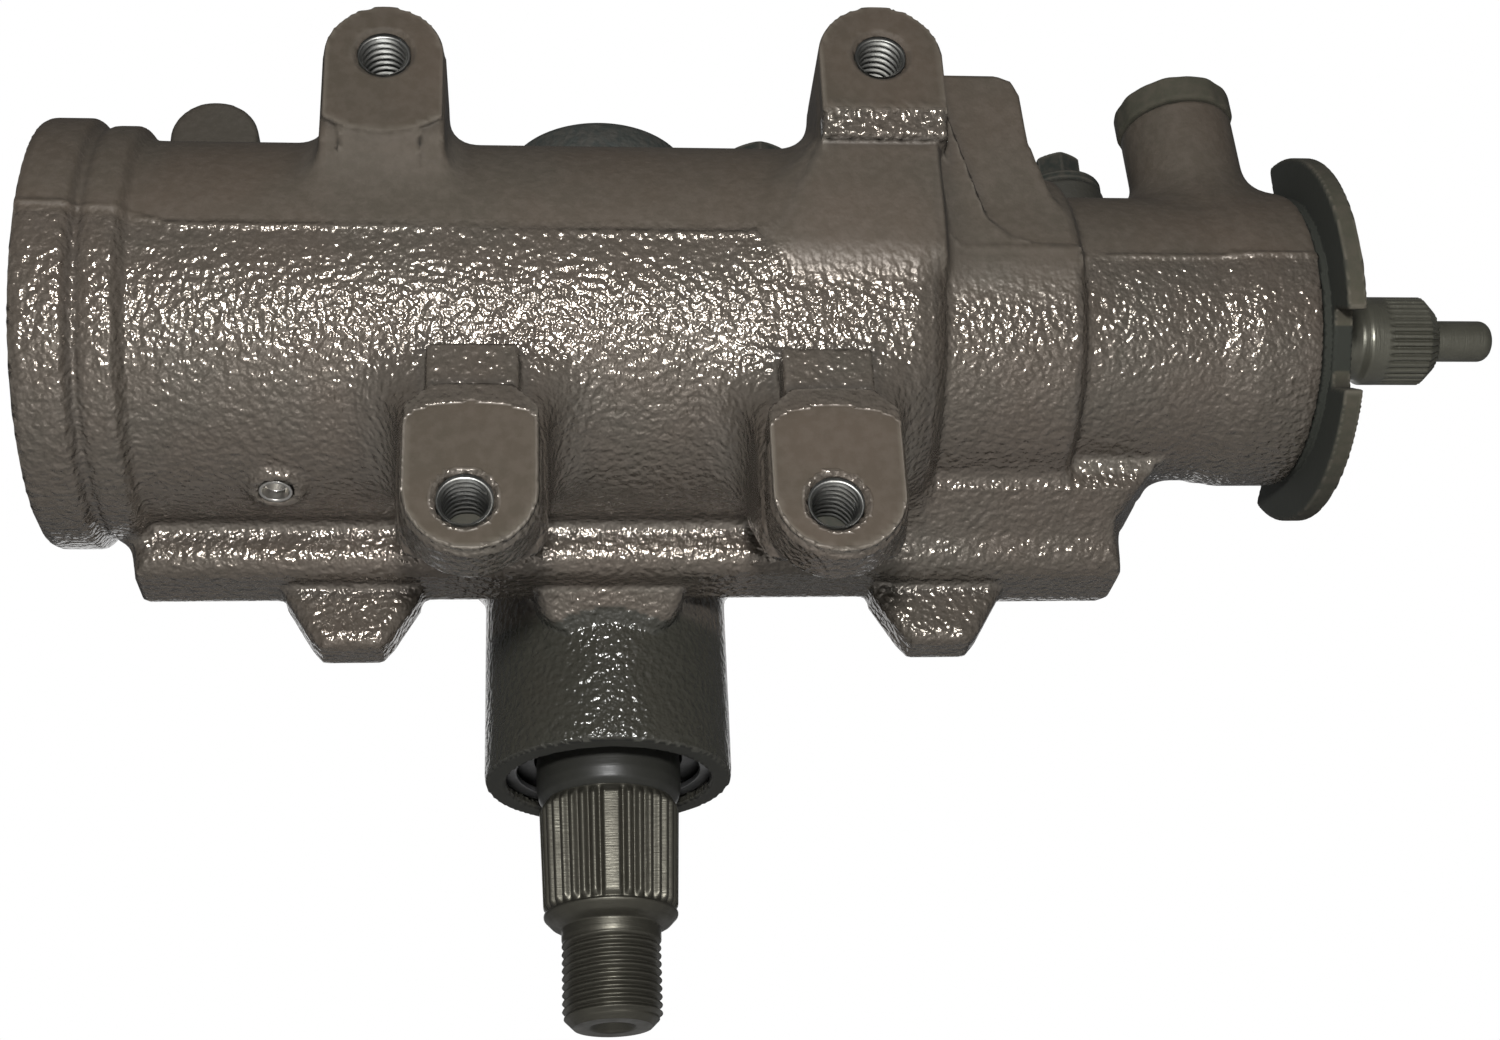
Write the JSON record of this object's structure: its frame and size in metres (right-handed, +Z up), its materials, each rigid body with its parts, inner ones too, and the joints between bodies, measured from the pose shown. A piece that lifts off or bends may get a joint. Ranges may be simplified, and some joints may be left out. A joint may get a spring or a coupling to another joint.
{
  "type": "steering gearbox",
  "caption": "Recirculating-ball power steering gearbox: cast barrel housing with mounting ears and side cover, serrated input shaft and a tapered pitman shaft below.",
  "frame": {"origin": "centre of the end face of the input shaft's pilot, on the worm axis", "axes": "+X along the worm axis out of the input end, -Y out of the four frame pads, +Z up along the pitman shaft's axis, away from its serrated end"},
  "size_m": [0.3257, 0.1505, 0.2387],
  "materials": {
    "painted_cast_iron": "semi-gloss brown-grey paint over sand-cast iron",
    "painted_steel": "semi-gloss brown-grey paint over machined steel",
    "machined_steel": "ground and turned steel with a light oil film",
    "bearing_steel": "satin steel",
    "bronze": "satin bearing bronze",
    "seal_rubber": "black moulded nitrile",
    "ring_plastic": "dark filled PTFE"
  },
  "bodies": {
    "housing": {"gear_housing": "painted_cast_iron", "side_cover": "painted_cast_iron", "side_cover_bolt_1": "painted_steel", "side_cover_bolt_2": "painted_steel", "side_cover_bolt_3": "painted_steel", "side_cover_bolt_4": "painted_steel", "side_cover_gasket": "seal_rubber", "side_cover_bushing": "bronze", "lash_adjuster_screw": "painted_steel", "lash_lock_nut": "painted_steel", "housing_end_plug": "painted_cast_iron", "end_plug_seal": "seal_rubber", "end_plug_retaining_ring": "bearing_steel", "lower_thrust_bearing": "bearing_steel", "lower_thrust_race_left": "bearing_steel", "lower_thrust_race_right": "bearing_steel", "upper_thrust_bearing": "bearing_steel", "upper_thrust_race_left": "bearing_steel", "upper_thrust_race_right": "bearing_steel", "adjuster_plug": "painted_steel", "adjuster_plug_seal": "seal_rubber", "adjuster_lock_nut": "painted_steel", "stub_shaft_needle_bearing": "bearing_steel", "stub_shaft_seal": "seal_rubber", "stub_shaft_dust_seal": "seal_rubber", "seal_retaining_ring": "bearing_steel", "pitman_needle_bearing": "bearing_steel", "pitman_inner_seal": "seal_rubber", "pitman_backup_washer": "seal_rubber", "pitman_outer_seal": "seal_rubber", "pitman_seal_washer": "bearing_steel", "pitman_snap_ring": "bearing_steel", "front_port_plug": "painted_steel", "rear_port_plug": "painted_steel", "oil_passage_plug": "bearing_steel"},
    "pitman": {"pitman_shaft": "machined_steel"},
    "rack": {"rack_piston": "machined_steel", "piston_ring": "ring_plastic", "rack_piston_end_plug": "machined_steel", "ball_train": "machined_steel", "ball_guide_half_1": "machined_steel", "ball_guide_half_2": "machined_steel", "guide_clamp": "machined_steel", "guide_clamp_screw_1": "machined_steel", "guide_clamp_screw_2": "machined_steel"},
    "worm": {"worm_shaft": "machined_steel", "valve_body": "machined_steel", "valve_ring_1": "ring_plastic", "valve_ring_2": "ring_plastic", "valve_ring_3": "ring_plastic", "torsion_bar": "machined_steel"},
    "stub": {"stub_shaft": "machined_steel", "spool_valve": "machined_steel"}
  },
  "joints": [
    {"name": "pitman_turn", "type": "hinge", "parent": "housing", "child": "pitman", "pos_m": [-0.20525, 0.0546, 0], "axis": [0, 0, 1], "range_deg": [-36, 36]},
    {"name": "rack_slide", "type": "slide", "parent": "housing", "child": "rack", "axis": [1, 0, 0], "range_m": [-0.01759, 0.01759]},
    {"name": "worm_turn", "type": "hinge", "parent": "housing", "child": "worm", "pos_m": [-0.20525, 0, 0], "axis": [1, 0, 0], "range_deg": [-577, 577]},
    {"name": "valve_twist", "type": "hinge", "parent": "worm", "child": "stub", "pos_m": [-0.05, 0, 0], "axis": [1, 0, 0], "range_deg": [-7, 7], "stiffness_Nm_per_rad": 75}
  ],
  "couplings": [
    {"joint": "pitman_turn", "follows": "rack_slide", "rad_per_m": 35.714},
    {"joint": "worm_turn", "follows": "rack_slide", "rad_per_m": -571.43}
  ]
}
